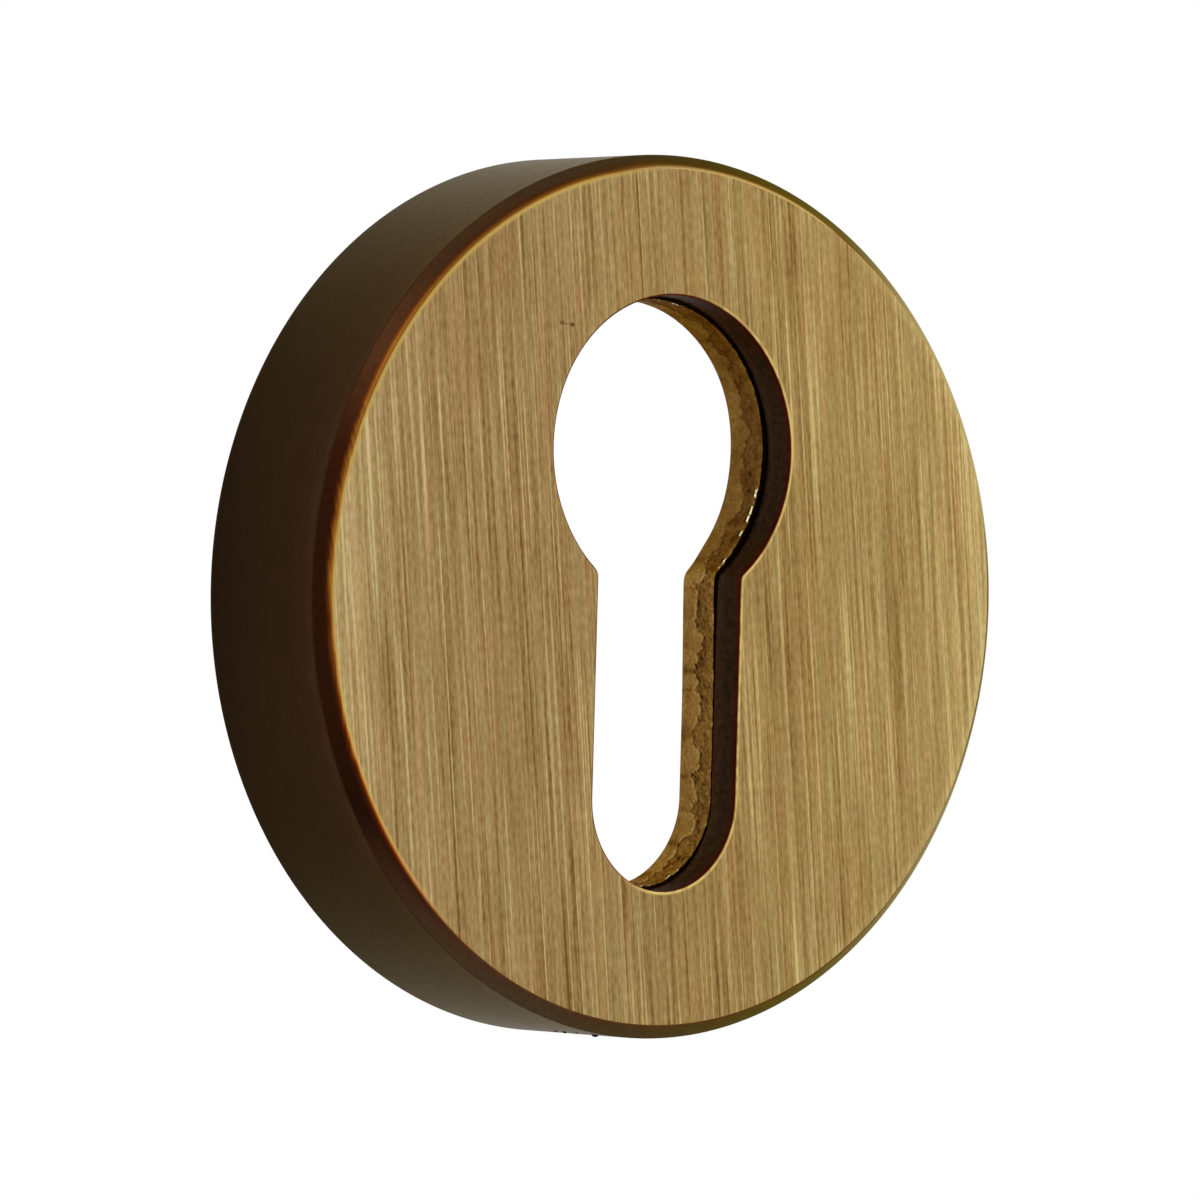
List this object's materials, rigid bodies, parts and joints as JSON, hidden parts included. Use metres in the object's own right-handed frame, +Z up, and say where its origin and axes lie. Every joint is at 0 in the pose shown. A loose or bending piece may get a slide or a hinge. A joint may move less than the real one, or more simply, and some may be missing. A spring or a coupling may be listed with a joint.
{
  "type": "keyhole escutcheon",
  "caption": "Round brushed brass escutcheon with a euro-profile keyhole, a hollow cover and an under-rose that screws to the door round a lock cylinder.",
  "frame": {"origin": "centre of the back, on the door's face, midway between the two door screws", "axes": "+Z up the keyhole's long axis with the round head above, +Y into the door, so the brushed face looks along -Y"},
  "size_m": [0.05, 0.01, 0.05],
  "materials": {
    "cover": "antique brass: brushed face, dark brown rim",
    "under_rose": "raw forged brass",
    "grub_screw": "black oxide steel"
  },
  "bodies": {
    "root": {"cover": "cover", "under_rose": "under_rose", "grub_screw": "grub_screw"}
  },
  "joints": []
}
